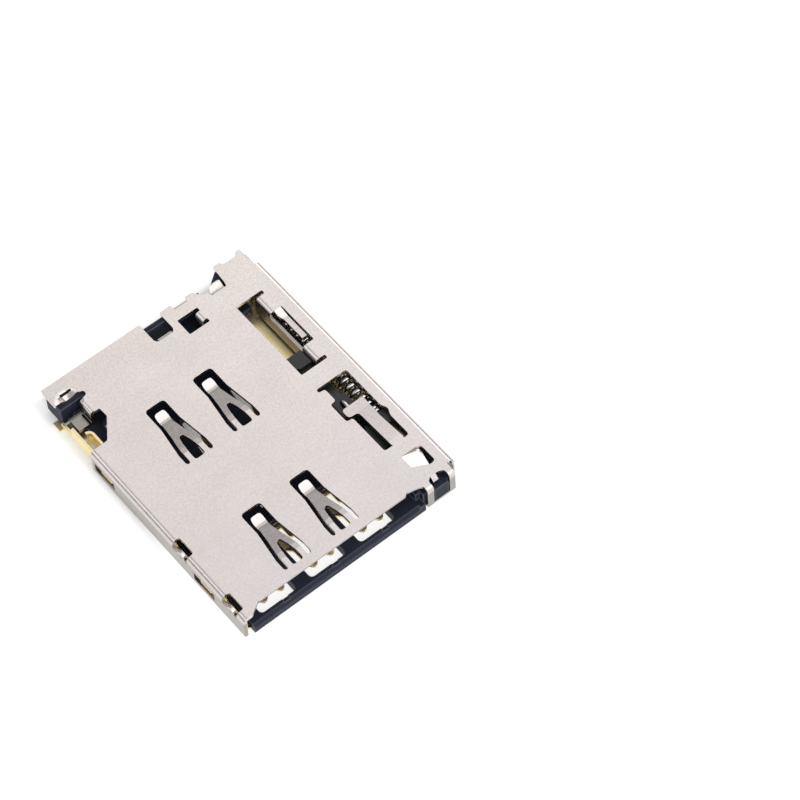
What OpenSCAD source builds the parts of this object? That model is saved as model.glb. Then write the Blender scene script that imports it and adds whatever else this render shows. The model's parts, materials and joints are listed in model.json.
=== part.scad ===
// Push-push card socket for a 12.3 x 8.8 mm card, surface mount.
// Millimetres. +Y is the way the card goes in, +Z is up, the solder plane is z = 0.
// The origin is the middle of the footprint on the solder plane.

/* [Overall] */
// Outer width across the shell walls
body_w = 11.2; // [11.1:0.05:11.5]
// Length from the front lip to the rear corner block
body_l = 14.5; // [14.4:0.05:14.9]
// Height from the solder plane to the top of the shell
body_h = 1.35; // [1.32:0.01:1.42]

/* [Shell] */
// Thickness of the stamped shell sheet
shell_t = 0.15; // [0.1:0.01:0.16]
// Outer radius of the shell folds
fold_r = 0.25; // [0.2:0.01:0.28]
// Length of a card finger from root to tip
finger_l = 2.93; // [2.8:0.01:3.0]
// Width of a card finger at its tip
finger_w = 0.55; // [0.45:0.05:0.65]
// How far a card finger dips under the sheet
finger_dip = 0.28; // [0.2:0.02:0.3]

/* [Contacts] */
// Thickness of the lead-frame strip
lead_t = 0.12; // [0.1:0.01:0.13]
// Spacing of the contact columns
contact_pitch = 2.54; // [2.48:0.02:2.58]
// Distance between the two contact rows
row_gap = 7.62; // [7.54:0.02:7.68]
// Height of a contact point over the solder plane
contact_z = 0.85; // [0.75:0.05:0.95]

/* [Housing] */
// Thickness of the housing floor under the card
floor_t = 0.45; // [0.4:0.01:0.48]

/* [Mechanism] */
// Travel of the slider from ejected to fully pressed
slider_travel = 1.6; // [1.2:0.1:1.7]
// Outside diameter of the ejector spring
spring_od = 0.84; // [0.76:0.02:0.84]
// Wire diameter of the ejector spring
spring_wire = 0.13; // [0.1:0.01:0.14]
// Turns of the ejector spring
spring_turns = 26; // [20:1:28]
// Wire diameter of the cam pin
pin_d = 0.18; // [0.16:0.01:0.2]
// Sideways swing of the cam pin's follower
cam_swing = 0.22; // [0.18:0.01:0.23]

/* [Fits] */
// Gap between the slider and the parts it slides past
slide_gap = 0.04; // [0.03:0.01:0.05]
// Gap between the plate walls and the shell walls
wall_gap = 0.02; // [0.01:0.01:0.03]

/* [Hidden] */
$fn = 48;

eps = 0.01;
steel = [0.84, 0.81, 0.79];
gold = [0.86, 0.77, 0.55];
black = [0.10, 0.11, 0.13];
bright = [0.80, 0.80, 0.82];

// edges of the whole part
left_x = -body_w / 2;
right_x = body_w / 2;
front_y = -body_l / 2;
back_y = body_l / 2;

// levels
sheet_z = body_h - shell_t;
wall_foot_z = 0.08;
roof_gap = 0.02;
wall_top_z = sheet_z - roof_gap;

// card, contacts and mechanism lines
card_offset = 1.15;
card_x = -card_offset;
rear_row_y = back_y - 5.2;
front_row_y = rear_row_y - row_gap;
columns = [card_x - contact_pitch, card_x, card_x + contact_pitch];
frame_w = 0.84;
plate_x = right_x - shell_t - wall_gap;
side_x = left_x + shell_t + wall_gap;
bay_x = right_x - 2.0;
floor_plate_x = right_x - 2.26;

// edges of the shell's top
top_front_y = front_y + 0.41;
top_back_y = back_y - 0.39;
rear_face_y = back_y - 0.56;
wall_back_y = back_y - 1.05;
left_wall_back_y = back_y - 4.13;

// ejector spring and slider
spring_r = spring_od / 2;
spring_x = plate_x - lead_t - spring_r - slide_gap;
spring_z = lead_t + spring_r + 0.05;
spring_back_y = back_y - 0.65;
foot_back_y = front_y + 4.45;
foot_l = 0.7;
slider_x = bay_x;
slider_right_x = spring_x - spring_r - slide_gap;
slider_z = lead_t + slide_gap;
slider_top_z = 0.82;
slider_front_y = front_y + 2.95;
slider_back_y = front_y + 8.9;
nose_top_z = wall_top_z - 0.1;

// cam track and pin
track_w = pin_d + 0.05;
pin_x = slider_right_x - track_w / 2 - 0.06 - cam_swing;
pivot_x = pin_x + 0.38;
pin_jog_x = pin_x + 0.32;
pin_y = front_y + 2.25;
follower_y = front_y + 5.85;
pin_z = slider_top_z + slide_gap + pin_d / 2;
pin_leg = 0.4;
pin_bend = 0.15;
lock_back = 0.35;

block_back_y = slider_front_y - slide_gap;

// lead frame: buried strips sit a little above the solder plane
buried_z = 0.04;
neck_z = 0.15;
lead_r = 0.32;
plate_wall_z = 0.95;
side_wall_z = 1.0;
latch_z = [0.34, 0.72];
right_latch_y = [front_y + 1.95, back_y - 2.45];
left_latch_y = [front_y + 2.25, front_y + 9.0];
latch_l = 0.95;

// wall inside the shell that parts the spring from the slider
spring_wall_x = spring_x - spring_r - slide_gap;
spring_fold_x = spring_wall_x - shell_t + fold_r;
spring_win_y = [front_y + 7.92, front_y + 12.0];
relief = 0.2;
spring_cut_y = [spring_win_y[0] + 0.9, spring_win_y[1] - 0.97];

function mid(a, b, t) = a + (b - a) * t;

// corner points of an outline, each corner replaced by a short curve
function soft(pts, r, n = 4) = let (m = len(pts)) [
    for (i = [0 : m - 1])
        let (c = pts[i],
             a = pts[(i + m - 1) % m] - c,
             b = pts[(i + 1) % m] - c,
             ra = min(r / norm(a), 0.45),
             rb = min(r / norm(b), 0.45),
             straight = a * b < -0.9 * norm(a) * norm(b))
        for (k = [0 : straight ? 0 : n])
            let (t = k / n)
            straight ? c : c + a * ra * (1 - t) * (1 - t) + b * rb * t * t
];

// outline of a strip of even upright thickness over a line of points
function strip(line, t) = concat(line, [
    for (i = [len(line) - 1 : -1 : 0]) [line[i][0], line[i][1] + t]]);

// box between two corners
module box(a, b) {
    translate(a) cube(b - a);
}

// prism standing on a plan outline between two heights
module upright(z0, z1) {
    translate([0, 0, z0]) linear_extrude(height = z1 - z0) children();
}

// side view, drawn in Y and Z, made solid from x0 to x1
module across(x0, x1) {
    translate([x0, 0, 0])
        rotate([90, 0, 90]) linear_extrude(height = x1 - x0) children();
}

// end view, drawn in X and Z, made solid from y0 to y1
module along(y0, y1) {
    translate([0, y1, 0])
        rotate([90, 0, 0]) linear_extrude(height = y1 - y0) children();
}

// fold of a sheet seen end on: the sheet ends at 0 and turns down towards +X
module fold_view(drop, r = fold_r, t = shell_t) {
    intersection() {
        difference() {
            translate([0, -r]) circle(r);
            translate([0, -r]) circle(r - t);
        }
        translate([0, -r]) square([r, r]);
    }
    translate([r - t, -drop]) square([t, drop - r]);
    translate([-eps, -t]) square([2 * eps, t]);
}

// flap folded down from an edge that runs along Y, turning towards -X
module flap_left(x, y0, y1, drop, r = fold_r) {
    translate([x, 0, body_h]) along(y0, y1) mirror([1, 0]) fold_view(drop, r);
}

// flap folded down from an edge that runs along X; way is -1 for front, 1 for back
module flap_end(x0, x1, y, drop, way, r = fold_r) {
    translate([0, y, body_h]) across(x0, x1)
        mirror([way < 0 ? 1 : 0, 0]) fold_view(drop, r);
}

// Shell: one stamped sheet folded into a shallow channel

// channel seen from the front, top and both walls
module shell_channel() {
    for (way = [0, 1])
        mirror([way, 0, 0])
            translate([right_x - fold_r, body_h]) fold_view(body_h - wall_foot_z);
    translate([left_x + fold_r, sheet_z]) square([body_w - 2 * fold_r, shell_t]);
}

// card stop at the rear left corner
card_stop_x = left_x + 1.32;
card_stop_r = 0.18;
card_stop_y = [top_back_y - 2.2, top_back_y - 1.42];
card_stop_z = floor_t + 0.02;

// legs of the front bracket and the arch between them
bracket_r = 0.18;
leg_x = [bay_x + 0.18, bay_x + 0.5, bay_x + 1.33, bay_x + 1.62];
leg_y = front_y + bracket_r;
arch_y = top_front_y + 0.06;

// hook at the back edge, dipped and turned up behind the mechanism
hook_x = [bay_x - 0.58, bay_x + 0.08];
hook_y = wall_back_y - 0.12;

// outline of the whole blank seen from above
module shell_plan() {
    corner_x = right_x - 0.3;
    notch_y = top_back_y - 1.05;
    front = [
        [left_x, front_y + 0.05], [left_x + 0.46, front_y + 0.05], [left_x + 1.02, top_front_y],
        [bay_x - 0.6, top_front_y], [bay_x - 0.52, top_front_y + 0.1],
        [bay_x + 0.06, top_front_y - 0.02], [leg_x[0], top_front_y - 0.12],
        [leg_x[0], leg_y], [leg_x[1], leg_y], [leg_x[1], top_front_y - 0.08],
        [leg_x[1] + 0.18, arch_y], [leg_x[2] - 0.2, arch_y], [leg_x[2], top_front_y - 0.06],
        [leg_x[2], leg_y], [leg_x[3], leg_y], [leg_x[3], top_front_y + 0.16],
        [right_x - 0.2, top_front_y + 0.16], [right_x - 0.18, top_front_y + 0.02],
        [right_x, top_front_y + 0.08]];
    back = [
        [right_x, wall_back_y], [corner_x, wall_back_y], [corner_x, back_y],
        [corner_x - 0.18, back_y], [corner_x - 0.38, back_y - 0.2],
        [corner_x - 1.0, back_y - 0.2], [corner_x - 1.1, back_y - 0.02],
        [corner_x - 1.44, back_y - 0.02], [corner_x - 1.52, wall_back_y + 0.12],
        [hook_x[1] + 0.04, hook_y], [hook_x[0] - 0.04, hook_y], [bay_x - 0.72, wall_back_y + 0.14],
        [bay_x - 0.95, wall_back_y + 0.2], [bay_x - 1.24, top_back_y - 0.1],
        [bay_x - 1.58, top_back_y - 0.1], [bay_x - 1.6, top_back_y - 0.3],
        [bay_x - 2.29, top_back_y - 0.3], [bay_x - 2.29, top_back_y - 0.05],
        [bay_x - 2.89, top_back_y - 0.05], [bay_x - 2.89, notch_y],
        [bay_x - 3.02, notch_y - 0.15], [bay_x - 3.76, notch_y - 0.15],
        [bay_x - 3.89, notch_y], [bay_x - 3.89, top_back_y]];
    corner = [
        [left_x + 0.21, top_back_y], [left_x + 0.21, top_back_y - 1.0],
        [left_x + 0.75, top_back_y - 1.02], [left_x + 1.3, top_back_y - 1.05],
        [left_x + 1.5, top_back_y - 1.06], [left_x + 1.6, top_back_y - 1.15],
        [left_x + 1.6, top_back_y - 1.29], [left_x + 1.5, top_back_y - 1.38],
        [card_stop_x, top_back_y - 1.38], [card_stop_x, top_back_y - 2.25],
        [left_x + 1.58, top_back_y - 2.25], [left_x + 1.6, top_back_y - 2.75],
        [left_x + 0.9, left_wall_back_y], [left_x, left_wall_back_y]];
    polygon(soft(concat(front, back, corner), 0.07, 3));
}

// opening round one card finger
module finger_window() {
    end_y = finger_l + 0.31;
    polygon(soft([[-0.69, -0.1], [0.69, -0.1], [0.69, 0.6], [0.49, 2.1], [0.49, end_y],
        [-0.49, end_y], [-0.49, 2.1], [-0.69, 0.6]], 0.2));
}

// right half of a finger's edge, from its root to its tip
finger_edge = [[0.76, -0.14], [0.76, 0.2], [0.69, 0.16], [0.65, 0.04], [0.52, 0.04],
    [0.49, 0.16], [0.485, 0.75], [0.435, 1.1],
    [finger_w / 2 + 0.065, 1.62], [finger_w / 2 - 0.02, 2.25],
    [finger_w / 2, finger_l - 0.3], [finger_w / 2 - 0.02, finger_l]];

// plan of one card finger: two legs that join into a waisted blade
module finger_plan() {
    last = len(finger_edge) - 1;
    left = [for (i = [last : -1 : 0]) [-finger_edge[i][0], finger_edge[i][1]]];
    difference() {
        polygon(soft(concat(finger_edge, left), 0.14, 3));
        polygon(soft([[-0.26, 0.03], [0.26, 0.03], [0.25, 0.5], [0.19, 1.0], [0.1, 1.42],
            [-0.1, 1.42], [-0.19, 1.0], [-0.25, 0.5]], 0.13, 3));
    }
}

// one card finger, dipping under the sheet and turned up at its tip
module finger() {
    dip_z = sheet_z - finger_dip;
    line = [[-0.14, sheet_z], [0.55, sheet_z], [0.85, sheet_z - 0.03],
        [finger_l - 0.52, dip_z], [finger_l - 0.4, dip_z],
        [finger_l - 0.25, dip_z + 0.04], [finger_l + 0.02, dip_z + 0.14]];
    intersection() {
        upright(0, body_h + eps) finger_plan();
        across(-1, 1) polygon(strip(line, shell_t));
    }
}

finger_pitch = 2.44;
finger_mid_x = card_x + 0.15;
finger_cols = [finger_mid_x - finger_pitch / 2, finger_mid_x + finger_pitch / 2];
finger_rows = [front_y + 0.78, front_y + 7.26];

// long window over the slider's rear end, with the spring wall's relief slots
module spring_window() {
    y0 = spring_win_y[0];
    y1 = spring_win_y[1];
    far_x = spring_fold_x + 0.38;
    ear_x = spring_fold_x + 0.24;
    polygon(soft([[bay_x - 0.24, y0 - relief], [ear_x, y0 - relief],
        [ear_x, y0], [spring_fold_x, y0], [spring_fold_x, spring_cut_y[0]],
        [far_x, spring_cut_y[0]], [far_x, spring_cut_y[1]], [spring_fold_x, spring_cut_y[1]],
        [spring_fold_x, y1], [ear_x, y1], [ear_x, y1 + relief],
        [bay_x - 0.24, y1 + relief]], 0.06, 3));
}

// small tongue over the coil, rooted at the back of the spring window
module spring_keeper() {
    root_y = spring_cut_y[1];
    x0 = spring_fold_x + 0.08;
    x1 = spring_fold_x + 0.33;
    low_z = sheet_z - 0.12;
    line = [[root_y - 1.85, low_z], [root_y - 0.5, low_z], [root_y - 0.02, sheet_z],
        [root_y + 0.05, sheet_z]];
    intersection() {
        across(x0 - 1, x1 + 1) polygon(strip(line, shell_t));
        upright(0, body_h + eps)
            polygon([[x0, root_y - 1.8], [x1, root_y - 1.8], [x1, root_y + 0.04],
                [x0 - 0.1, root_y + 0.04], [x0 - 0.1, root_y - 0.3], [x0, root_y - 0.55]]);
    }
}

// spring wall: flap folded down at both ends, relieved in the middle
module spring_wall() {
    drop = body_h - 0.3;
    difference() {
        flap_left(spring_fold_x, spring_win_y[0], spring_win_y[1], drop);
        box([spring_fold_x - fold_r - 1, spring_cut_y[0], body_h - fold_r - 0.12],
            [spring_fold_x + 1, spring_cut_y[1], body_h + 1]);
    }
}

tongue_root_y = front_y + 2.61;
tongue_end_y = front_y + 5.36;
tongue_x = [pin_x + 0.06, pin_x + 0.7];

// window round the pin tongue
module tongue_window() {
    x0 = bay_x + 0.06;
    x1 = tongue_x[1] + 0.24;
    y1 = tongue_end_y + 1.4;
    nose_y = [tongue_end_y - 0.65, tongue_end_y + 0.45];
    polygon(soft([[x0, tongue_root_y], [x1, tongue_root_y], [x1, tongue_end_y - 1.5],
        [x1 + 0.16, tongue_end_y - 1.2], [x1, tongue_end_y - 0.9], [x1, y1],
        [bay_x - 0.24, y1], [bay_x - 0.24, y1 - relief], [x0, y1 - relief],
        [x0, nose_y[1]], [bay_x - 0.24, nose_y[1]], [bay_x - 0.24, nose_y[0]],
        [x0, nose_y[0]]], 0.13, 3));
}

// tongue that holds the cam pin down in its track
module pin_tongue() {
    low_z = pin_z + pin_d / 2 + roof_gap;
    line = [[tongue_root_y - 0.05, sheet_z], [tongue_root_y + 0.25, sheet_z],
        [tongue_end_y - 0.5, low_z], [tongue_end_y + 0.02, low_z]];
    nose_x = bay_x - 0.02;
    intersection() {
        upright(0, body_h + eps)
            polygon(soft([[tongue_x[0], tongue_root_y - 0.05], [tongue_x[1], tongue_root_y - 0.05],
                [tongue_x[1] - 0.06, tongue_end_y - 1.25], [tongue_x[1], tongue_end_y],
                [nose_x, tongue_end_y], [nose_x, tongue_end_y - 0.48],
                [tongue_x[0], tongue_end_y - 0.52]], 0.16));
        across(bay_x - 0.5, right_x) polygon(strip(line, shell_t));
    }
}

lance_y = [front_y + 0.92, front_y + 1.96];
lance_x = [bay_x + 0.31, bay_x + 1.36];

// window of the pressed-down lug near the front corner
module lance_window() {
    polygon(soft([[lance_x[0], lance_y[1] - 0.1], [lance_x[0] + 0.05, lance_y[0] + 0.4],
        [lance_x[1] - 0.25, lance_y[0]], [lance_x[1], lance_y[0] + 0.05],
        [lance_x[1], lance_y[1] - 0.1], [lance_x[1] - 0.15, lance_y[1]],
        [lance_x[0] + 0.12, lance_y[1]]], 0.12));
}

// lug pressed down over the mechanism block
module lance_lug() {
    line = [[lance_x[0] - 0.05, sheet_z], [lance_x[0] + 0.08, sheet_z],
        [lance_x[1], sheet_z - 0.2]];
    intersection() {
        along(lance_y[0] - 1, lance_y[1] + 1) polygon(strip(line, shell_t));
        upright(0, body_h + eps)
            polygon(soft([[lance_x[0] - 0.05, lance_y[1] - 0.08],
                [lance_x[0], lance_y[0] + 0.36], [lance_x[1] - 0.37, lance_y[0] - 0.01],
                [lance_x[1] - 0.28, lance_y[0] + 0.05], [lance_x[1] - 0.1, lance_y[1] - 0.26],
                [lance_x[1] - 0.1, lance_y[1] + 0.04], [lance_x[0] + 0.1, lance_y[1] + 0.04]], 0.06));
    }
}

stop_hole = [[bay_x - 2.54, back_y - 2.14], [bay_x - 1.49, back_y - 1.24]];

// hole with the small stop flap near the rear edge
module stop_window() {
    fold_x = stop_hole[1][0] - 0.05;
    polygon(soft([stop_hole[0], [stop_hole[1][0], stop_hole[0][1]],
        [stop_hole[1][0], stop_hole[0][1] + relief], [fold_x, stop_hole[0][1] + relief],
        [fold_x, stop_hole[1][1] - relief], [stop_hole[1][0], stop_hole[1][1] - relief],
        stop_hole[1], [stop_hole[0][0], stop_hole[1][1]]], 0.05, 3));
}

// flap at the rear left corner that stops the card, with a foot turned to the wall
module card_stop() {
    face_x = card_stop_x - card_stop_r;
    flap_left(card_stop_x, card_stop_y[0], card_stop_y[1], body_h - card_stop_z, card_stop_r);
    difference() {
        box([side_x + lead_t + 0.2, card_stop_y[0], card_stop_z],
            [face_x + shell_t / 2, card_stop_y[1], card_stop_z + shell_t]);
        // slot beside the flap
        box([face_x - 0.12, card_stop_y[0] - 1, 0], [face_x - 0.02, card_stop_y[1] - 0.2, body_h]);
    }
}

corner_lug_x = [left_x + 0.5, left_x + 1.38];
corner_lug_y = [top_back_y - 1.2, top_back_y - 0.76];
corner_slit_x = [left_x + 0.66, left_x + 1.22];
corner_slit_l = 0.09;

// bridge and slit of the lug pressed into the rear left corner
module corner_lug_window() {
    box([corner_lug_x[0], corner_lug_y[0], sheet_z - eps],
        [corner_lug_x[1], corner_lug_y[1], body_h + 1]);
    box([corner_slit_x[0], corner_lug_y[0], sheet_z - eps],
        [corner_slit_x[1], corner_lug_y[1] + corner_slit_l, body_h + 1]);
}

// bridge pressed down between the corner's slot and its slit
module corner_lug() {
    low_z = sheet_z - 0.12;
    x0 = corner_lug_x[0];
    x1 = corner_lug_x[1];
    line = [[x0 - 0.04, sheet_z], [x0 + 0.02, sheet_z], [x0 + 0.26, low_z],
        [x1 - 0.36, low_z], [x1 - 0.02, sheet_z], [x1 + 0.04, sheet_z]];
    along(corner_lug_y[0] + 0.2, corner_lug_y[1] + eps) polygon(strip(line, shell_t));
}

// front bracket: two legs and a foot bar folded down over the front corner
module front_bracket() {
    drop = body_h - wall_foot_z;
    foot_bar = 0.12;
    difference() {
        flap_end(leg_x[0], leg_x[3], leg_y, drop, -1, bracket_r);
        box([leg_x[1], front_y - 1, wall_foot_z + foot_bar], [leg_x[2], front_y + 1, body_h + 1]);
    }
}

// small tab bent down in the arch of the front bracket
module bracket_tab() {
    line = [[arch_y - 0.2, sheet_z - 0.2], [arch_y - 0.02, sheet_z], [arch_y + 0.1, sheet_z]];
    across(leg_x[1] + 0.2, leg_x[1] + 0.46) polygon(strip(line, shell_t));
}

// hook at the back edge
module rear_hook() {
    low_z = sheet_z - 0.12;
    line = [[hook_y - 0.1, sheet_z], [hook_y + 0.02, sheet_z], [hook_y + 0.14, low_z],
        [hook_y + 0.22, low_z], [hook_y + 0.42, sheet_z], [hook_y + 0.52, sheet_z]];
    end_y = hook_y + 0.5;
    intersection() {
        across(hook_x[0] - 1, hook_x[1] + 1) polygon(strip(line, shell_t));
        upright(0, body_h + eps)
            polygon(soft([[hook_x[0], hook_y - 0.06], [hook_x[1], hook_y - 0.06], [hook_x[1], end_y],
                [hook_x[0] + 0.2, end_y], [hook_x[0], hook_y + 0.3]], 0.12));
    }
}

fold_win_y = [front_y + 0.51, front_y + 3.81];
fold_win_l = 0.97;
fold_win_z = body_h - 0.42;
fold_win_x = left_x + 0.38;
fold_lug_r = 0.26;
fold_lug_off = 0.42;
latch_room = 0.2;

module shell() {
    color(steel) {
        difference() {
            intersection() {
                along(front_y, back_y) shell_channel();
                upright(0, body_h + 1) shell_plan();
            }
            for (x = finger_cols, y = finger_rows)
                translate([x, y, 0]) upright(sheet_z - 1, body_h + 1) finger_window();
            upright(sheet_z - eps, body_h + 1) {
                spring_window();
                tongue_window();
                lance_window();
                stop_window();
            }
            // windows on the left fold
            for (y = fold_win_y)
                upright(fold_win_z, body_h + 1)
                    polygon(soft([[left_x - 1, y], [fold_win_x, y], [fold_win_x, y + fold_win_l],
                        [left_x - 1, y + fold_win_l]], 0.13));
            // latch windows in both walls
            for (y = left_latch_y)
                box([left_x - 1, y - latch_room, latch_z[0] - 0.06],
                    [left_x + 1, y + latch_l + latch_room, latch_z[1] + 0.06]);
            for (y = right_latch_y)
                box([right_x - 1, y - latch_room, latch_z[0] - 0.06],
                    [right_x + 1, y + latch_l + latch_room, latch_z[1] + 0.06]);
            corner_lug_window();
        }
        for (x = finger_cols, y = finger_rows)
            translate([x, y, 0]) finger();
        for (y = fold_win_y)
            across(left_x, left_x + shell_t)
                translate([y + fold_lug_off, fold_win_z]) circle(fold_lug_r);
        spring_keeper();
        spring_wall();
        pin_tongue();
        lance_lug();
        front_bracket();
        flap_left(stop_hole[1][0] - 0.05, stop_hole[0][1] + relief, stop_hole[1][1] - relief, 0.55);
        card_stop();
        corner_lug();
        flap_end(bay_x - 3.74, bay_x - 3.04, top_back_y - 1.2, 0.6, 1);
        bracket_tab();
        rear_hook();
    }
}

// Lead frame: plates, contacts and switch, all from one strip

// plate with an upstanding wall, seen end on, wall towards +X
module plate_view(inner_x, outer_x, top_z) {
    bend_x = outer_x - lead_r;
    translate([inner_x, 0]) square([bend_x - inner_x + eps, lead_t]);
    intersection() {
        difference() {
            translate([bend_x, lead_r]) circle(lead_r);
            translate([bend_x, lead_r]) circle(lead_r - lead_t);
        }
        translate([bend_x, 0]) square([lead_r, lead_r]);
    }
    translate([outer_x - lead_t, lead_r - eps]) square([lead_t, top_z - lead_r]);
}

// raised latch on a plate wall, leaning out into the shell's window
module latch(y) {
    out = 0.1;
    root = lead_t / 2;
    upright(latch_z[0], latch_z[1])
        polygon([[-root, y], [0, y], [out, y + 0.15], [out, y + latch_l - 0.15],
            [0, y + latch_l], [-root, y + latch_l]]);
}

mech_y = [front_y + 0.82, back_y - 1.42];
mech_ears = [front_y + 0.85, front_y + 4.05, front_y + 10.0, back_y - 1.4];
ear_l = 0.35;
lug_gap = 0.28;
lug_x = columns[2] + frame_w + lug_gap;
lug_y = [front_y + 2.22, front_y + 4.05, front_y + 5.63, front_y + 6.95, front_y + 8.67];
tail_x = [floor_plate_x - 0.74, floor_plate_x - 0.34];

well = [bay_x + 0.85, front_y + 0.7];
well_r = 0.33;

module mechanism_plan() {
    difference() {
        translate([floor_plate_x, mech_y[0]])
            square([plate_x - floor_plate_x, mech_y[1] - mech_y[0]]);
        translate([plate_x - 0.47, mech_y[0] - 1]) square([1, 1.55]);
        translate(well) circle(well_r);
    }
    translate([floor_plate_x, mech_y[1] - 0.1]) square([0.83, 0.9]);
    for (y = mech_ears)
        translate([floor_plate_x - 0.1, y]) square([0.2, ear_l]);
}

// strips of the mechanism plate that are buried in the housing
module mechanism_buried() {
    for (y = lug_y)
        translate([lug_x, y]) square([floor_plate_x - lug_x + 0.06, 0.42]);
    translate([tail_x[0], rear_face_y - 0.42])
        square([floor_plate_x - tail_x[0] + 0.06, 0.2]);
    translate([tail_x[0], rear_face_y - 0.42])
        square([tail_x[1] - tail_x[0], 0.62]);
}

module mechanism_plate() {
    color(gold) {
        difference() {
            intersection() {
                along(front_y, back_y) plate_view(floor_plate_x - 0.1, plate_x, plate_wall_z);
                upright(-eps, body_h) mechanism_plan();
            }
            for (y = right_latch_y) latch_slots(plate_x, y);
        }
        upright(buried_z, buried_z + lead_t) mechanism_buried();
        translate([plate_x, 0, 0]) for (y = right_latch_y) latch(y);
    }
}

// openings lanced in a plate wall at both ends of a latch
module latch_slots(x, y) {
    for (end = [y - latch_room, y + latch_l])
        box([x - 1, end, latch_z[0]], [x + 1, end + latch_room, latch_z[1]]);
}

side_back_y = back_y - 1.72;
side_front_y = front_y + 0.25;
side_step_y = [back_y - 7.12, back_y - 5.52];
side_in_x = [side_x + lead_r + eps, side_x + 0.74];
side_low_z = 0.76;
side_end_z = 0.5;
guard_x = side_x + 0.55;
guard_y = [back_y - 3.9, back_y - 2.95];
guard_r = 0.3;

module side_plan() {
    difference() {
        polygon([[side_x, side_front_y], [side_in_x[0], side_front_y],
            [side_in_x[0], side_step_y[0]], [side_in_x[1], side_step_y[1]],
            [side_in_x[1], side_back_y], [side_x, side_back_y]]);
        for (y = [back_y - 5.72, back_y - 5.02])
            translate([side_x + 0.16, y]) square([0.34, 0.38]);
        translate([side_x + lead_r + eps, guard_y[0]])
            square([guard_x - side_x - lead_r - eps, guard_y[1] - guard_y[0] + slide_gap]);
    }
}

// card guard seen from above, its rear end curled to the wall
module guard_plan() {
    turn = [guard_x + lead_t - guard_r, guard_y[1] - guard_r];
    translate([guard_x, guard_y[0]]) square([lead_t, turn[1] - guard_y[0] + eps]);
    intersection() {
        difference() {
            translate(turn) circle(guard_r);
            translate(turn) circle(guard_r - lead_t);
        }
        translate(turn) square(guard_r);
    }
}

module card_side_plate() {
    color(gold) {
        intersection() {
            difference() {
                mirror([1, 0, 0]) along(front_y, back_y)
                    plate_view(-side_in_x[1], -side_x, side_wall_z);
                // low behind the shell's fold windows
                for (y = fold_win_y)
                    box([side_x - 1, y - 0.1, side_low_z], [side_x + 1, y + fold_win_l + 0.1, body_h]);
                for (y = left_latch_y) latch_slots(side_x, y);
                // low again beside the tail
                box([side_x - 1, side_back_y - 0.78, side_end_z], [side_x + 1, back_y, body_h]);
            }
            upright(-eps, body_h) side_plan();
        }
        // tail standing out at the rear corner
        upright(0, lead_t) translate([left_x + 0.02, side_back_y - 0.06])
            square([0.3, 0.5]);
        upright(0, lead_t) translate([side_x + 0.1, side_back_y - 0.3])
            square([0.5, 0.3]);
        upright(0, side_wall_z - 0.1) guard_plan();
        translate([side_x, 0, 0]) mirror([1, 0, 0]) for (y = left_latch_y) latch(y);
    }
}

eyelet_y = -4.97;
eyelet_r = [0.38, 0.58];
ring_y = [-4.22, -2.68];
ring_w = 0.66;
beam_root_y = -2.17;

// plan of a rear contact about its contact point
module rear_plan() {
    bar = 0.2;
    difference() {
        union() {
            polygon(soft([[-ring_w, ring_y[0]], [ring_w, ring_y[0]], [ring_w, ring_y[1]],
                [-ring_w, ring_y[1]]], 0.25));
            translate([-0.2, eyelet_y]) square([0.4, ring_y[0] - eyelet_y + bar]);
            translate([0, eyelet_y]) circle(eyelet_r[1]);
        }
        polygon(soft([[-ring_w + bar, ring_y[0] + bar], [ring_w - bar, ring_y[0] + bar],
            [ring_w - bar, ring_y[1] - bar], [-ring_w + bar, ring_y[1] - bar]], 0.12));
        translate([0, eyelet_y]) circle(eyelet_r[0]);
    }
    // solder tail inside the ring
    polygon(soft([[-0.26, ring_y[1] - 0.88], [0.26, ring_y[1] - 0.88],
        [0.26, ring_y[1] - 0.1], [-0.26, ring_y[1] - 0.1]], 0.15));
    // neck and tapering beam
    polygon(soft([[-0.6, ring_y[1] - 0.12], [0.6, ring_y[1] - 0.12], [0.6, beam_root_y],
        [0.17, -0.45], [0.17, 0.26], [-0.17, 0.26], [-0.17, -0.45], [-0.6, beam_root_y]], 0.08, 3));
}

module rear_contact(x) {
    top_z = contact_z - lead_t;
    line = [[eyelet_y - 1, buried_z], [ring_y[0] - 0.12, buried_z], [ring_y[0] - 0.02, 0],
        [ring_y[1], 0], [ring_y[1] + 0.16, neck_z], [beam_root_y, neck_z],
        [-0.35, top_z - 0.05], [-0.12, top_z], [0.08, top_z], [0.3, top_z - 0.12]];
    color(gold) translate([x, rear_row_y, 0]) intersection() {
        upright(-eps, body_h) rear_plan();
        across(-ring_w - 1, ring_w + 1) polygon(strip(line, lead_t));
    }
}

frame_y = [0.52, 1.7];
anchor_y = 1.98;

// plan of a front contact's frame and its two arms
module front_arms() {
    bar = 0.27;
    for (way = [0, 1])
        mirror([way, 0, 0])
            polygon(soft([[frame_w - bar, frame_y[1]], [frame_w, frame_y[1]],
                [frame_w, frame_y[0]], [0.6, 0.2], [0.68, -0.84], [0.52, -1.1],
                [0.34, -1.04], [0.24, -0.84], [0.32, -0.74], [0.42, -0.78],
                [0.36, 0.24], [frame_w - bar, 0.62]], 0.09, 3));
    translate([-frame_w, frame_y[1] - bar]) square([2 * frame_w, bar]);
    translate([-0.42, frame_y[1] - bar]) square([0.84, anchor_y - frame_y[1] + bar]);
    // solder tail hanging from the frame
    polygon(soft([[-0.26, 0.8], [0.26, 0.8], [0.26, frame_y[1] - 0.1],
        [-0.26, frame_y[1] - 0.1]], 0.18));
}

// plan of the nose that turns back between the arms
module front_nose() {
    polygon(soft([[-0.52, -1.1], [-0.3, -1.06], [0, -0.6], [0.3, -1.06], [0.52, -1.1],
        [0.42, -0.82], [0.14, -0.26], [0.12, 0.18], [-0.12, 0.18], [-0.14, -0.26],
        [-0.42, -0.82]], 0.08, 3));
}

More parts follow.
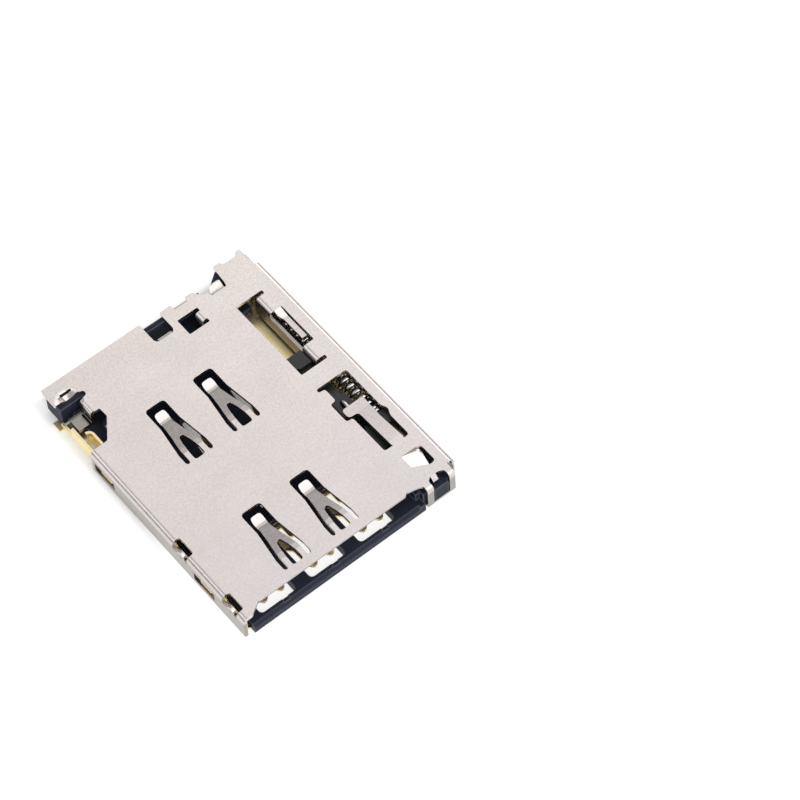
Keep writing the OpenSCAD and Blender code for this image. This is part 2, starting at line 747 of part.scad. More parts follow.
module front_contact(x) {
    top_z = contact_z - lead_t;
    lobe_z = 0.46;
    arms = [[-1.14, lobe_z], [-0.82, lobe_z], [frame_y[0], 0], [frame_y[1], 0],
        [frame_y[1] + 0.12, buried_z], [anchor_y + 0.1, buried_z]];
    nose = [[-1.14, lobe_z], [-0.82, lobe_z], [-0.14, top_z], [0.08, top_z],
        [0.2, top_z - 0.06]];
    color(gold) translate([x, front_row_y, 0]) {
        intersection() {
            upright(-eps, body_h) front_arms();
            across(-2, 2) polygon(strip(arms, lead_t));
        }
        intersection() {
            upright(-eps, body_h) front_nose();
            across(-2, 2) polygon(strip(nose, lead_t));
        }
    }
}

module rear_contact_1() { rear_contact(columns[0]); }
module rear_contact_2() { rear_contact(columns[1]); }
module rear_contact_3() { rear_contact(columns[2]); }
module front_contact_1() { front_contact(columns[0]); }
module front_contact_2() { front_contact(columns[1]); }
module front_contact_3() { front_contact(columns[2]); }

stiff_y = front_y + 0.1;
stiff_w = 0.18;
prong_l = 1.3;
prong_w = 0.2;
prong_x = [card_x - contact_pitch / 2, card_x + contact_pitch / 2];

// metal insert in the front bar with a prong between each two contacts
module stiffener_plan() {
    translate([columns[0] - 1.2, stiff_y]) square([2 * contact_pitch + 2.2, stiff_w]);
    for (x = prong_x)
        translate([x - prong_w / 2, stiff_y]) square([prong_w, prong_l]);
}

module front_stiffener() {
    color(gold) upright(buried_z, buried_z + lead_t) stiffener_plan();
}

switch_x = [card_x - 1.49, card_x + 2.38];
switch_y = back_y - 3.92;
strip_x = [card_x - 1.1, card_x - 0.27];
tie_y = back_y - 4.45;
tie_x = [card_x - 2.91, card_x - 0.88, card_x + 1.14, card_x + 3.16];

// plan of the switch's fixed plate
module switch_plan() {
    y = switch_y;
    polygon(soft([[switch_x[1], y], [card_x + 1.2, y], [card_x + 0.62, y + 0.3],
        [switch_x[0] + 0.3, y + 0.32], [switch_x[0], y + 0.55], [switch_x[0], y + 1.75],
        [strip_x[1], y + 1.72], [strip_x[1], y + 1.5], [card_x - 0.1, y + 0.8],
        [card_x + 0.25, y + 1.45], [card_x + 0.42, y + 0.58], [card_x + 1.35, y + 0.55],
        [card_x + 1.42, y + 1.2], [card_x + 1.7, y + 1.2], [card_x + 1.7, y + 0.55],
        [switch_x[1], y + 0.55]], 0.06, 3));
}

module switch_plate() {
    rise = [[switch_y + 1.6, 0], [switch_y + 1.8, 0], [switch_y + 2.05, 0.12],
        [switch_y + 2.75, 0.36]];
    color(gold) {
        upright(0, lead_t) switch_plan();
        across(strip_x[0], strip_x[1]) polygon(strip(rise, lead_t));
        // tie bar buried in the floor
        upright(buried_z, buried_z + lead_t) {
            translate([tie_x[0] - 0.25, tie_y - 0.14]) square([tie_x[3] - tie_x[0] + 0.5, 0.28]);
            translate([card_x + 1.5, tie_y]) square([0.4, switch_y - tie_y + 0.2]);
        }
    }
}

blade_z = [0.56, 1.02];
blade_t = 0.08;
blade = [[card_x - 3.2, back_y - 0.98], [card_x - 2.9, back_y - 0.98],
    [card_x - 1.9, back_y - 1.0], [card_x - 1.1, back_y - 1.4],
    [card_x - 0.35, back_y - 1.75]];

module switch_blade() {
    color(gold) upright(blade_z[0], blade_z[1])
        polygon(concat(blade, [for (i = [len(blade) - 1 : -1 : 0]) blade[i] + [0, blade_t]]));
}

// Housing: moulded round the lead frame

floor_back_y = rear_face_y;
floor_right_x = bay_x - 0.1;
rear_wall_y = rear_face_y - 0.25;

module floor_plan() {
    polygon([[side_in_x[0] - 0.06, front_y], [floor_right_x, front_y],
        [floor_right_x, floor_back_y], [side_in_x[1] - 0.06, floor_back_y],
        [side_in_x[1] - 0.06, side_step_y[1]], [side_in_x[0] - 0.06, side_step_y[0]]]);
}

// opening over the switch, clear of the plate's held edges
module switch_window() {
    y = switch_y;
    polygon([[switch_x[1] - 0.12, y + 0.4], [card_x + 0.62, y + 0.45], [switch_x[0] + 0.12, y + 0.48],
        [switch_x[0] + 0.12, y + 1.85], [card_x - 2.78, y + 2.25], [card_x - 2.78, rear_wall_y],
        [switch_x[1] - 0.12, rear_wall_y]]);
}

// window under a rear contact's beam
module beam_window() {
    polygon(soft([[-0.72, beam_root_y], [0.72, beam_root_y], [0.42, 0.48], [-0.42, 0.48]], 0.2));
}

front_win = [-1.37, 1.74];

module arm_window() {
    half = frame_w + 0.05;
    polygon(soft([[-half, front_win[0]], [half, front_win[0]], [half, front_win[1]],
        [-half, front_win[1]]], 0.2));
}

// four slots round an eyelet that show the metal under the skin
module eyelet_slots() {
    reach = eyelet_r[0] + 0.12;
    for (a = [0 : 90 : 270])
        rotate(a) translate([eyelet_r[0] - 0.1, -0.14]) square([reach - eyelet_r[0] + 0.1, 0.28]);
}

// everything that opens the underside onto buried metal
module skin_windows() {
    for (y = lug_y)
        translate([lug_x + 0.02, y + 0.02]) square([0.26, 0.38]);
    for (x = tie_x)
        translate([x - 0.24, tie_y - 0.12]) square([0.48, 0.24]);
    for (x = columns) {
        translate([x - 0.2, stiff_y + 0.02]) square([0.4, stiff_w - 0.04]);
        translate([x, rear_row_y + eyelet_y]) eyelet_slots();
    }
    for (x = prong_x)
        translate([x - prong_w / 2 + 0.01, stiff_y + 0.42]) square([prong_w - 0.02, 0.8]);
}

gate_marks = [[bay_x - 0.66, back_y - 3.82], [card_x - 1.39, back_y - 5.28]];
pin_marks = [[bay_x - 1.58, back_y - 2.38], [card_x - 2.62, back_y - 3.02]];

lip_notch_off = 0.3;
lip_notch_w = 0.3;
lip_notch_d = 0.06;

// walls and blocks that stand on the floor
module housing_walls() {
    block_x = [bay_x - 0.15, plate_x - lead_r - 0.03];
    block_front_y = front_y + 0.42;
    bracket_back_y = front_y + shell_t + 0.02;
    lip_right_x = bay_x + 0.06;
    corner_x = [floor_right_x - 0.24, right_x - 0.22];
    seat_y = spring_back_y + slide_gap;
    corner_back_y = back_y - 0.14;
    // rear wall and left corner
    box([side_in_x[1] - 0.06, rear_wall_y, 0], [bay_x - 0.95, rear_face_y, wall_top_z]);
    box([side_x + 0.12, side_back_y + 0.1, lead_t + 0.02],
        [card_x - 2.78, rear_face_y, wall_top_z]);
    for (x = [[card_x + 1.6, card_x + 2.48], [card_x - 2.9, card_x - 1.92]])
        box([x[0], rear_face_y - 0.1, 0], [x[1], rear_face_y + 0.1, 0.5]);
    // rear corner block with the spring's seat
    upright(0, wall_top_z)
        polygon([[corner_x[0], seat_y], [corner_x[1], seat_y], [corner_x[1], corner_back_y - 0.15],
            [corner_x[1] - 0.15, corner_back_y], [corner_x[0] + 0.62, corner_back_y]]);
    box([floor_right_x - 0.1, back_y - 2.2, 0],
        [spring_wall_x - shell_t - slide_gap, seat_y + 0.1, floor_t]);
    box([spring_x + spring_r + 0.02, mech_y[1] + 0.04, 0], [plate_x, seat_y + 0.1, wall_top_z - 0.15]);
    // mechanism block at the front
    box([block_x[0], block_front_y, 0], [block_x[1], block_back_y, slider_top_z]);
    box([lip_right_x, bracket_back_y, 0], [block_x[1], block_front_y + 0.1, slider_top_z]);
    box([lip_right_x, bracket_back_y, 0],
        [block_x[1] + 0.1, front_y + 0.84, slider_top_z + 0.12]);
    // pad that fills the bracket between its legs
    box([leg_x[1] + slide_gap, front_y + 0.03, wall_foot_z + 0.16],
        [leg_x[2] - slide_gap, bracket_back_y + 0.1, slider_top_z + 0.12]);
    // end of the front lip beside the bracket
    box([floor_right_x - 0.1, front_y, 0], [lip_right_x, front_y + 0.5, floor_t]);
}

module housing() {
    color(black) difference() {
        union() {
            upright(0, floor_t) floor_plan();
            housing_walls();
        }
        // lead frame moulded in
        upright(-1, lead_t) {
            mechanism_plan();
            side_plan();
            switch_plan();
            translate([floor_plate_x, mech_y[0]])
                square([right_x, mech_y[1] - mech_y[0]]);
        }
        upright(buried_z, buried_z + lead_t) {
            mechanism_buried();
            stiffener_plan();
        }
        switch_plate();
        switch_blade();
        for (x = columns) {
            rear_contact(x);
            front_contact(x);
            translate([x, rear_row_y, -1]) upright(0, 3) {
                beam_window();
                translate([0, eyelet_y]) circle(eyelet_r[0]);
            }
            translate([x, front_row_y, -1]) upright(0, 3) arm_window();
            // rings stay open through the floor
            translate([x, rear_row_y, -1]) upright(0, 3)
                translate([-ring_w + 0.2, ring_y[0] + 0.2])
                    square([2 * ring_w - 0.4, ring_y[1] - ring_y[0] - 0.4]);
        }
        upright(-1, 1) switch_window();
        upright(-1, buried_z) skin_windows();
        // marks of the mould
        for (p = gate_marks) {
            translate([p[0], p[1], -1]) difference() {
                cylinder(h = 1.04, r = 0.42);
                cylinder(h = 3, r = 0.36);
            }
            translate([p[0], p[1], -1]) cylinder(h = 1.05, r = 0.08);
        }
        for (p = pin_marks)
            translate([p[0], p[1], -1]) cylinder(h = 3, r = 0.34);
        // lead-in along the front lip
        translate([0, front_y, floor_t]) rotate([45, 0, 0])
            box([left_x, -0.11, -0.11], [bay_x - 0.2, 0.11, 0.11]);
        // notch in the lip before each front contact
        for (x = columns)
            translate([x + lip_notch_off, front_y, 0])
                box([-lip_notch_w / 2, 0.15, floor_t - lip_notch_d],
                    [lip_notch_w / 2, 0.6, floor_t + 1]);
        // round well in the front corner, open to the underside
        translate([well[0], well[1], -1]) cylinder(h = 1.6, r = well_r);
        // bearing of the cam pin
        translate([pivot_x, pin_y, slider_top_z - pin_leg - 0.05]) cylinder(h = 1, d = pin_d + 0.03);
    }
}

// Push-push mechanism

track_end_y = follower_y - slider_travel;
lock_y = track_end_y + lock_back;
track_left = [pin_x - cam_swing, track_end_y];
track_right = [pin_x + cam_swing, track_end_y + 0.05];
track_lock = [pin_x, lock_y];
track_start = [pin_x, follower_y];

// one straight run of the track
module run(a, b) {
    d = b - a;
    translate(a) circle(d = track_w);
    translate(b) circle(d = track_w);
    translate(a) rotate(atan2(d[1], d[0])) translate([0, -track_w / 2]) square([norm(d), track_w]);
}

module cam_track() {
    run(track_start, track_left);
    run(track_left, track_lock);
    run(track_lock, track_right);
    run(track_right, track_start);
}

module slider() {
    cam_back_y = follower_y + 0.4;
    arm_right_x = spring_wall_x - shell_t - slide_gap;
    nose_y = slider_back_y - 0.75;
    foot_x = spring_x + spring_r - 0.02;
    foot_top_x = pivot_x + pin_d / 2 + slide_gap;
    color(black) {
        difference() {
            box([slider_x, slider_front_y, slider_z], [slider_right_x, cam_back_y, slider_top_z]);
            upright(slider_top_z - pin_leg, body_h) cam_track();
        }
        box([slider_x, cam_back_y - 0.1, slider_z], [arm_right_x, slider_back_y, slider_top_z]);
        // card nose, sloped like the card's cut corner
        upright(floor_t + 0.08, nose_top_z)
            polygon([[slider_x - 0.65, slider_back_y], [slider_x - 0.65, slider_back_y - 0.1],
                [slider_x, nose_y], [arm_right_x, nose_y], [arm_right_x, slider_back_y]]);
        // spring foot with the coil's guide stub
        box([slider_right_x - 0.1, foot_back_y - foot_l, slider_z],
            [foot_x, foot_back_y, slider_top_z]);
        box([foot_top_x, foot_back_y - foot_l, slider_z], [foot_x, foot_back_y, spring_z + spring_r]);
        translate([spring_x, foot_back_y - 0.1, spring_z]) rotate([-90, 0, 0])
            cylinder(h = 1.0, r = spring_r - spring_wire - 0.05);
    }
}

// path of corner points with its inner corners bent to a curve
function bent(pts, r, n = 4) = [
    pts[0],
    for (i = [1 : len(pts) - 2])
        let (c = pts[i], a = pts[i - 1] - c, b = pts[i + 1] - c)
        for (k = [0 : n])
            let (t = k / n)
            c + a / norm(a) * r * (1 - t) * (1 - t) + b / norm(b) * r * t * t,
    pts[len(pts) - 1]
];

// round wire along a path; the direction aside is never that of the path
module wire(path, d, aside, sides) {
    last = len(path) - 1;
    pts = [for (i = [0 : last])
        let (step = path[min(i + 1, last)] - path[max(i - 1, 0)],
             u = cross(step, aside) / norm(cross(step, aside)),
             v = cross(step, u) / norm(step))
        for (k = [0 : sides - 1])
            let (b = 360 * k / sides)
            path[i] + d / 2 * (u * cos(b) + v * sin(b))];
    skin = [for (i = [0 : last - 1], k = [0 : sides - 1])
        let (n = (k + 1) % sides, a = i * sides, b = (i + 1) * sides)
        [a + k, a + n, b + n, b + k]];
    ends = [[for (k = [sides - 1 : -1 : 0]) k], [for (k = [0 : sides - 1]) last * sides + k]];
    polyhedron(points = pts, faces = concat(skin, ends));
}

module ejector_spring() {
    rings = 10;
    steps = spring_turns * rings;
    r = spring_r - spring_wire / 2;
    y0 = foot_back_y + spring_wire / 2 + 0.01;
    y1 = spring_back_y - spring_wire / 2 - 0.01;
    coil = [for (i = [0 : steps])
        let (a = 360 * i / rings)
        [spring_x + r * cos(a), mid(y0, y1, i / steps), spring_z + r * sin(a)]];
    color(bright) wire(coil, spring_wire, [0, 1, 0], 6);
}

// bent wire: down into the bearing, sideways under the tongue, down into the track
module cam_pin() {
    foot_z = slider_top_z - pin_leg + 0.03;
    line = [[pivot_x, pin_y, foot_z], [pivot_x, pin_y, pin_z],
        [pin_jog_x, follower_y - 1.12, pin_z], [pin_x, follower_y - 0.5, pin_z],
        [pin_x, follower_y, pin_z], [pin_x, follower_y, foot_z]];
    color(bright) wire(bent(line, pin_bend), pin_d, [1, 0.3, 0], 12);
}

housing();
mechanism_plate();
card_side_plate();
rear_contact_1();
rear_contact_2();
rear_contact_3();
front_contact_1();
front_contact_2();
front_contact_3();
front_stiffener();
switch_plate();
switch_blade();
slider();
ejector_spring();
cam_pin();
shell();
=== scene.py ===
import json

import bpy
import numpy as np
from mathutils import Matrix, Vector


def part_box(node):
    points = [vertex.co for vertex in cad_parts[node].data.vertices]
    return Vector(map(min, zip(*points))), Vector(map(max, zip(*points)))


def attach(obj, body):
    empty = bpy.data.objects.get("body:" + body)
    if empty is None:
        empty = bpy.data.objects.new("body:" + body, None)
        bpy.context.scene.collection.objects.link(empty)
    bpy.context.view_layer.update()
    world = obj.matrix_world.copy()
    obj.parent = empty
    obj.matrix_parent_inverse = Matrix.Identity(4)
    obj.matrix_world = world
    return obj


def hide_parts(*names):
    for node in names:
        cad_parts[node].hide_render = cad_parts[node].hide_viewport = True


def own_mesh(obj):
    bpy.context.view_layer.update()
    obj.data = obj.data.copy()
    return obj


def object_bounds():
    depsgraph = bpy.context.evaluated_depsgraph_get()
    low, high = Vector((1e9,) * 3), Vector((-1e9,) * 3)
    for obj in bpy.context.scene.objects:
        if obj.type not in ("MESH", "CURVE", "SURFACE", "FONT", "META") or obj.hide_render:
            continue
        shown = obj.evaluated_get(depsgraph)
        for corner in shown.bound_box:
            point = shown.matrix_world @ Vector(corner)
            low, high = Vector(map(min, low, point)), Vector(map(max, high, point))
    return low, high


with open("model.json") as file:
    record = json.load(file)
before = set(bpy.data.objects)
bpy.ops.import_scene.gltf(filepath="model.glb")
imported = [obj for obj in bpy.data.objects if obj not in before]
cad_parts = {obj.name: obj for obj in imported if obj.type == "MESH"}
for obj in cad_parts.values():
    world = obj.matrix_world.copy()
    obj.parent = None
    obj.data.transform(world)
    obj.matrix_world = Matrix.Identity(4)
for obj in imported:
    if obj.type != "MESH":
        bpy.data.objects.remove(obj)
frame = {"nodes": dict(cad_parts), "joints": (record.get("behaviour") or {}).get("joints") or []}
cad_low, cad_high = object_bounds()


# Base plates: two broad plates of the stamped lead frame with upturned walls, under the
# mechanism bay and along the card's edge. Copper alloy strip with a pale gold flash,
# moulded into the housing's floor and hooked into the shell by the latches on their walls.
class Sock:
    """An output of a shader node. Arithmetic on it adds Math nodes to the same material."""

    def __init__(self, out):
        self.out = out

    @classmethod
    def node(cls, tree, kind, settings, inputs, pick=0):
        """One node of that kind: settings first, then a value or a link for each socket."""
        made = tree.nodes.new(kind)
        for name, value in settings.items():
            setattr(made, name, value)
        for name, value in inputs.items():
            if isinstance(value, cls):
                tree.links.new(value.out, made.inputs[name])
            else:
                made.inputs[name].default_value = value
        return cls(made.outputs[pick]) if made.outputs else made

    def combine(self, operation, a, b):
        """A Math node on two values, at least one of them a socket."""
        return Sock.node(self.out.id_data, "ShaderNodeMath", {"operation": operation}, {0: a, 1: b})

    def __add__(self, other):
        return self.combine("ADD", self, other)

    def __radd__(self, other):
        return self.combine("ADD", other, self)

    def __sub__(self, other):
        return self.combine("SUBTRACT", self, other)

    def __rsub__(self, other):
        return self.combine("SUBTRACT", other, self)

    def __mul__(self, other):
        return self.combine("MULTIPLY", self, other)

    def __rmul__(self, other):
        return self.combine("MULTIPLY", other, self)

    def __abs__(self):
        return self.combine("ABSOLUTE", self, 0.0)

    def or_more(self, other):
        """The larger of this value and another."""
        return self.combine("MAXIMUM", self, other)


mm_per_m = 1000.0
metal, no_metal = 1.0, 0.0
usual_gloss = 0.5


def new_finish(name):
    """An empty material: the material, its tree, and the place on the piece in millimetres."""
    material = bpy.data.materials.new(name)
    material.use_nodes = True
    tree = material.node_tree
    tree.nodes.clear()
    place = Sock.node(tree, "ShaderNodeTexCoord", {}, {}, "Object")
    place_mm = Sock.node(tree, "ShaderNodeVectorMath", {"operation": "SCALE"},
                         {0: place, "Scale": mm_per_m})
    return material, tree, place_mm


def specks(tree, place, per_mm, detail=2.0):
    """Soft noise between 0 and 1 with about per_mm specks in a millimetre."""
    return Sock.node(tree, "ShaderNodeTexNoise", {},
                     {"Vector": place, "Scale": per_mm, "Detail": detail, "Roughness": 0.55})


def between(tree, share, first, last):
    """A colour that goes from first to last as share goes from 0 to 1."""
    first, last = (end if isinstance(end, Sock) else (*end, 1.0) for end in (first, last))
    return Sock.node(tree, "ShaderNodeMix", {"data_type": "RGBA"}, {0: share, 6: first, 7: last}, 2)


def grain(tree, height, depth, edge=1.5e-5):
    """A normal that is rounded at sharp edges and roughened by height, depth in metres."""
    edges = Sock.node(tree, "ShaderNodeBevel", {"samples": 4}, {"Radius": edge})
    return Sock.node(tree, "ShaderNodeBump", {},
                     {"Strength": 1.0, "Distance": depth, "Height": height, "Normal": edges})


def surface(tree, metallic, gloss, **varying):
    """The Principled shader of a finish, joined to the material's output."""
    shader = Sock.node(tree, "ShaderNodeBsdfPrincipled", {},
                       {"Metallic": metallic, "Specular IOR Level": gloss, **varying})
    Sock.node(tree, "ShaderNodeOutputMaterial", {}, {"Surface": shader})


def dress(material, *names):
    """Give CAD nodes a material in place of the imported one."""
    for name in names:
        mesh = frame["nodes"][name].data
        mesh.materials.clear()
        mesh.materials.append(material)


def gold_flash(name, dark, light, rough):
    """Plated strip: cloudy tone, fine rolled grain and small changes of gloss."""
    material, tree, place = new_finish(name)
    cloud = specks(tree, place, 0.9, 3.0)
    fine = specks(tree, place, 22.0)
    surface(tree, metal, usual_gloss,
            **{"Base Color": between(tree, 0.65 * cloud + 0.35 * fine, dark, light),
               "Roughness": rough + 0.16 * fine,
               "Normal": grain(tree, fine, 1.2e-6)})
    return material


plate_gold = gold_flash("plate_gold", (0.90, 0.76, 0.42), (1.0, 0.87, 0.54), 0.26)
dress(plate_gold, "mechanism_plate", "card_side_plate")


# Contacts and switch: six sprung contact arms, the stiffener in the front bar and the card
# switch, all from the same strip and held by the housing that is moulded round their frames.
# The sprung pieces have a deeper, glossier gold, the two fixed ones the plates' pale flash.
contact_gold = gold_flash("contact_gold", (0.70, 0.57, 0.32), (0.90, 0.76, 0.48), 0.20)
contacts = [f"{row}_contact_{column}" for row in ("rear", "front") for column in (1, 2, 3)]
dress(contact_gold, *contacts, "switch_blade")
dress(plate_gold, "front_stiffener", "switch_plate")


# Housing: the floor, front lip, rear wall and corner blocks in one moulding of black liquid
# crystal polymer, shot round the lead frame. Its skin is matt from the spark-cut mould, with
# faint flow streaks along the card's way, and its edges are painted a little lighter, partly as
# rubbed wear and partly as a painted highlight.
def stretched(tree, place, shares):
    """A place scaled by a share for each axis, so that specks on it draw out into streaks."""
    return Sock.node(tree, "ShaderNodeVectorMath", {"operation": "MULTIPLY"}, {0: place, 1: shares})


rub_and_highlight_width = 1.1e-4
rub_and_highlight_share = 8.0
rubbed_and_highlight_grey = (0.12, 0.13, 0.16)
housing_black, tree, place = new_finish("housing_black")
streak = specks(tree, stretched(tree, place, (1.6, 0.35, 1.6)), 1.0, 4.0)
pits = specks(tree, place, 16.0, 3.0)
# Painted highlight, partly rubbed wear: the base colour turns lighter grey at the edges, where the
# rounded normal leaves the true one.
rounded = Sock.node(tree, "ShaderNodeBevel", {"samples": 6}, {"Radius": rub_and_highlight_width})
facing = Sock.node(tree, "ShaderNodeNewGeometry", {}, {}, "Normal")
flatness = Sock.node(tree, "ShaderNodeVectorMath", {"operation": "DOT_PRODUCT"},
                     {0: rounded, 1: facing}, "Value")
moulded = between(tree, 0.5 * streak + 0.5 * pits, (0.008, 0.010, 0.018), (0.024, 0.028, 0.044))
surface(tree, no_metal, 0.12,
        **{"Base Color": between(tree, rub_and_highlight_share * (1.0 - flatness) * pits, moulded, rubbed_and_highlight_grey),
           "Roughness": 0.36 + 0.22 * pits,
           "Normal": grain(tree, pits, 4e-6, 6e-5)})
dress(housing_black, "housing")


# Slider: the pusher that carries the heart-shaped cam track, a small moulding of black
# polyamide. It slides along the mechanism plate between the housing and the spring wall.
slider_black, tree, place = new_finish("slider_black")
pits = specks(tree, place, 12.0, 3.0)
worn = specks(tree, place, 2.5)
surface(tree, no_metal, usual_gloss,
        **{"Base Color": between(tree, worn, (0.010, 0.010, 0.012), (0.022, 0.022, 0.025)),
           "Roughness": 0.28 + 0.25 * pits,
           "Normal": grain(tree, pits, 3e-6, 2.0e-5)})
dress(slider_black, "slider")


# Ejector spring: a long close coil of bright stainless wire. It is seated against the rear
# corner block and pushes on the slider's foot. It shortens as the slider is pressed in, but here
# it is built once at its rest length and carried with the socket.
spring_low, spring_high = (np.array(corner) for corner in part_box("ejector_spring"))
spring_wire = 0.16e-3
spring_turns = 26
closed_turns = 1.5
closed_pitch = 1.04 * spring_wire
steps_per_turn = 40
wire_sides = 12


def coil(low, high, wire, turns):
    """A round wire carried along a helix about Y that fills the box from low to high.

    The turn angle runs evenly; Y climbs by the closed pitch over the closed turns at both
    ends and by an even pitch between them. Each ring of the wire stands across the helix:
    its points are the centre plus cos(b) times the radial and sin(b) times the binormal.
    """
    count = int(turns * steps_per_turn) + 1
    turn = np.linspace(0.0, turns, count)
    angle = 2.0 * np.pi * turn
    radius = (high[0] - low[0] - wire) / 2.0
    middle = (low + high) / 2.0
    first, last = low[1] + wire / 2.0, high[1] - wire / 2.0
    edge = closed_turns * closed_pitch
    climb = np.interp(turn, [0.0, closed_turns, turns - closed_turns, turns],
                      [first, first + edge, last - edge, last])
    centre = np.stack([middle[0] + radius * np.cos(angle), climb,
                       middle[2] + radius * np.sin(angle)], axis=1)
    radial = np.stack([np.cos(angle), np.zeros(count), np.sin(angle)], axis=1)
    along = np.gradient(centre, axis=0)
    along /= np.linalg.norm(along, axis=1, keepdims=True)
    across = np.cross(along, radial)
    side = np.linspace(0.0, 2.0 * np.pi, wire_sides, endpoint=False)
    ring = (np.cos(side)[None, :, None] * radial[:, None, :]
            + np.sin(side)[None, :, None] * across[:, None, :])
    points = (centre[:, None, :] + wire / 2.0 * ring).reshape(-1, 3)
    row = np.arange(count - 1)[:, None] * wire_sides
    here = np.arange(wire_sides)[None, :]
    after = (here + 1) % wire_sides
    quads = np.stack([row + here, row + wire_sides + here, row + wire_sides + after, row + after],
                     axis=-1).reshape(-1, 4)
    first_cap = list(range(wire_sides))
    last_cap = list(range(len(points) - 1, len(points) - 1 - wire_sides, -1))
    return points, quads.tolist() + [first_cap, last_cap]


def new_piece(name, points, faces):
    """A smooth-shaded mesh object at the origin with its place in its vertices."""
    mesh = bpy.data.meshes.new(name)
    mesh.from_pydata(points.tolist(), [], faces)
    mesh.polygons.foreach_set("use_smooth", np.ones(len(mesh.polygons), dtype=bool))
    mesh.update()
    piece = bpy.data.objects.new(name, mesh)
    bpy.context.scene.collection.objects.link(piece)
    return piece


wire_finish, tree, place = new_finish("bright_wire")
drawn = specks(tree, place, 30.0)
cloud = specks(tree, place, 1.5)
surface(tree, metal, usual_gloss,
        **{"Base Color": between(tree, cloud, (0.44, 0.44, 0.45), (0.62, 0.62, 0.62)),
           "Roughness": 0.12 + 0.10 * drawn,
           "Normal": grain(tree, drawn, 6e-7)})

spring = new_piece("ejector_coil", *coil(spring_low, spring_high, spring_wire, spring_turns))
spring.data.materials.append(wire_finish)
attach(spring, "socket")
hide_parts("ejector_spring")
push = next(joint for joint in frame["joints"] if joint["name"] == "slider_push")
spring_length = spring_high[1] - spring_low[1]
1.0 - push["range_m"][1] / spring_length
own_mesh(spring)


# Cam pin: a short length of bright wire with both ends bent down. One end turns in the
# housing's bearing, the other follows the cam track, and the shell's tongue holds it down.
dress(wire_finish, "cam_pin")


# Shell: one sheet of stainless steel, blanked, lanced and folded into a shallow channel that
# snaps over both plates. Matt rolled finish with a warm cast that cools towards the front,
# with painted shade that darkens the walls, fingers and tongue, and lugs dented in at the left
# fold and corner.
left, front = mm_per_m * cad_low[0], mm_per_m * cad_low[1]
right, back, top = (mm_per_m * reach for reach in cad_high)
fold_lugs_along = (0.93, 4.23)
fold_lug_drop, fold_lug_reach, fold_lug_depth = 0.42, 0.17, 0.05
corner_lug_in, corner_lug_along = 0.84, 12.96
corner_lug_reach, corner_lug_depth = 0.64, 0.21
dents = [((left, front + along, top - fold_lug_drop), fold_lug_reach, fold_lug_depth)
         for along in fold_lugs_along]
dents.append(((left + corner_lug_in, front + corner_lug_along, top), corner_lug_reach, corner_lug_depth))
wall_from, sheet_from = top - 0.35, top - 0.25
lanced_from, level_from = top - 0.14, top - 0.03
grain_depth = 0.0016


def along_axis(tree, place, axis):
    """One coordinate of a place."""
    return Sock.node(tree, "ShaderNodeSeparateXYZ", {}, {0: place}, axis)


def ramp(tree, value, start, end):
    """A share that climbs from 0 to 1 as value goes from start to end, and is level beyond."""
    return Sock.node(tree, "ShaderNodeMapRange", {}, {"Value": value, 1: start, 2: end})


def dent(tree, place, spot, reach, depth):
    """A round hollow's depth at a place: full at the spot, smoothly nothing at its reach."""
    away = Sock.node(tree, "ShaderNodeVectorMath", {"operation": "DISTANCE"},
                     {0: place, 1: spot}, "Value")
    return Sock.node(tree, "ShaderNodeMapRange", {"interpolation_type": "SMOOTHSTEP"},
                     {"Value": away, 1: 0.0, 2: reach, 3: depth, 4: 0.0})


shell_steel, tree, place = new_finish("shell_steel")
cloud = specks(tree, place, 0.55, 3.0)
fine = specks(tree, place, 9.0, 3.0)
mottle = specks(tree, place, 0.35, 1.0)
rolled = specks(tree, stretched(tree, place, (0.25, 1.6, 1.6)), 1.0, 3.0)
height = along_axis(tree, place, "Z")
on_sheet = ramp(tree, height, wall_from, sheet_from)
level = ramp(tree, height, lanced_from, level_from)
cool = ramp(tree, along_axis(tree, place, "Y"), back, front)
# Painted shade: below the top sheet's level, on the fingers and tongue, the tone is darker.
tone = 0.25 * cloud + 0.75 * fine + 0.12 * rolled + 0.10 - 0.25 * cool - 0.17 * (1.0 - level)
warm = between(tree, tone, (0.44, 0.368, 0.345), (1.0, 0.927, 0.888))
sheet = between(tree, 0.4 * cool + 0.2 * mottle, warm, (0.690, 0.663, 0.670))
# Painted shade: the walls get a darker colour than the top sheet.
wall = between(tree, fine, (0.31, 0.286, 0.262), (0.44, 0.404, 0.370))
relief = grain_depth * fine
for spot, reach, depth in dents:
    relief = relief - dent(tree, place, spot, reach, depth)
surface(tree, metal, usual_gloss,
        **{"Base Color": between(tree, on_sheet, wall, sheet),
           "Roughness": 0.19 + 0.12 * fine,
           "Normal": grain(tree, relief, 1.0 / mm_per_m)})
dress(shell_steel, "shell")


# Studio: a white table that glows as painted light before and around the part and is left dull
# beneath its rear half as painted shade, an even pale room and five soft boxes, seen through a
# long lens from the front left.
floor_reach = 0.6
floor_corners = [(floor_reach * x, floor_reach * y, 0.0)
                 for x, y in ((-1.0, -1.0), (1.0, -1.0), (1.0, 1.0), (-1.0, 1.0))]
floor_mesh = bpy.data.meshes.new("table")
floor_mesh.from_pydata(floor_corners, [], [(0, 1, 2, 3)])
floor = bpy.data.objects.new("table", floor_mesh)
bpy.context.scene.collection.objects.link(floor)

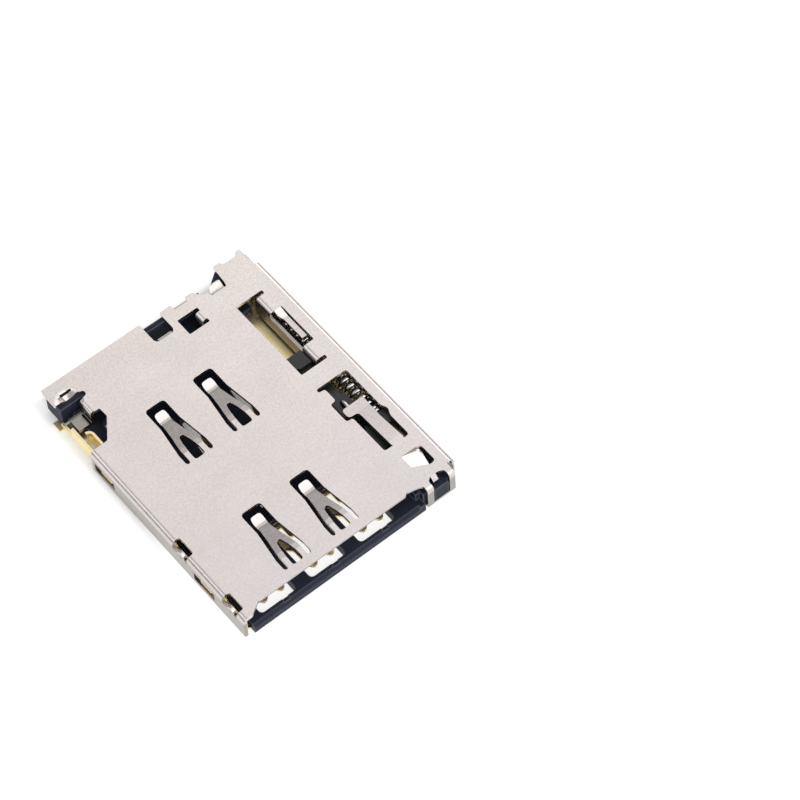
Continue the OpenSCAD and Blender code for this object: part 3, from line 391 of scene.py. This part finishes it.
glow_edge = 0.3
painted_shade_from, glow_from = 0.5, -2.0
table_white, tree, place = new_finish("table_white")
paper = specks(tree, place, 0.05)
lengthways = along_axis(tree, place, "Y")
# Painted light and shade on the table: it glows in front of and around the part and stays dull under the
# part's rear half.
beside = abs(along_axis(tree, place, "X")) - right
around = ramp(tree, beside.or_more(lengthways - back), 0.0, glow_edge)
painted_glow = ramp(tree, lengthways, painted_shade_from, glow_from).or_more(around)
surface(tree, no_metal, 0.2,
        **{"Base Color": between(tree, painted_glow + 0.05 * paper, (0.84, 0.84, 0.84), (0.30, 0.30, 0.30)),
           "Roughness": 0.9,
           "Emission Color": between(tree, painted_glow, (0.20, 0.20, 0.20), (0.80, 0.80, 0.80)),
           "Emission Strength": 1.0})
floor_mesh.materials.append(table_white)

room_light = 0.45
room = bpy.data.worlds.new("room")
room.use_nodes = True
room.node_tree.nodes["Background"].inputs["Color"].default_value = (1.0, 1.0, 1.0, 1.0)
room.node_tree.nodes["Background"].inputs["Strength"].default_value = room_light
bpy.context.scene.world = room

box_distance = 0.30


def soft_box(name, direction, size, watts):
    """A square area light at the box distance from the part along direction, facing the part."""
    light = bpy.data.lights.new(name, "AREA")
    light.shape = "SQUARE"
    light.size = size
    light.energy = watts
    lamp = bpy.data.objects.new(name, light)
    aim = Vector(direction).normalized()
    lamp.location = aim * box_distance
    lamp.rotation_mode = "QUATERNION"
    lamp.rotation_quaternion = aim.to_track_quat("Z", "Y")
    bpy.context.scene.collection.objects.link(lamp)


soft_box("top_box", (0.42, 0.10, 0.90), 0.35, 0.24)
soft_box("right_box", (0.66, 0.44, 0.62), 0.12, 0.045)
soft_box("front_box", (-0.20, -0.84, 0.50), 0.34, 0.80)
soft_box("left_box", (-0.60, 0.44, 0.67), 0.13, 0.05)
soft_box("tip_box", (0.30, -0.22, 0.93), 0.16, 0.06)

camera = bpy.data.cameras.new("camera")
camera.sensor_width = 36.0
camera.lens = 143.57
camera.clip_start = 0.005
camera.clip_end = 5.0
lens = bpy.data.objects.new("camera", camera)
lens_right = (0.77533, -0.63071, -0.03267)
lens_up = (0.54374, 0.64033, 0.54252)
lens_back = (-0.32126, -0.43840, 0.83941)
stand = (-0.03650, -0.06070, 0.11160)
turned = Matrix((lens_right, lens_up, lens_back)).transposed().to_4x4()
lens.matrix_world = Matrix.Translation(stand) @ turned
bpy.context.scene.collection.objects.link(lens)
bpy.context.scene.camera = lens
bpy.context.scene.view_settings.view_transform = "Standard"
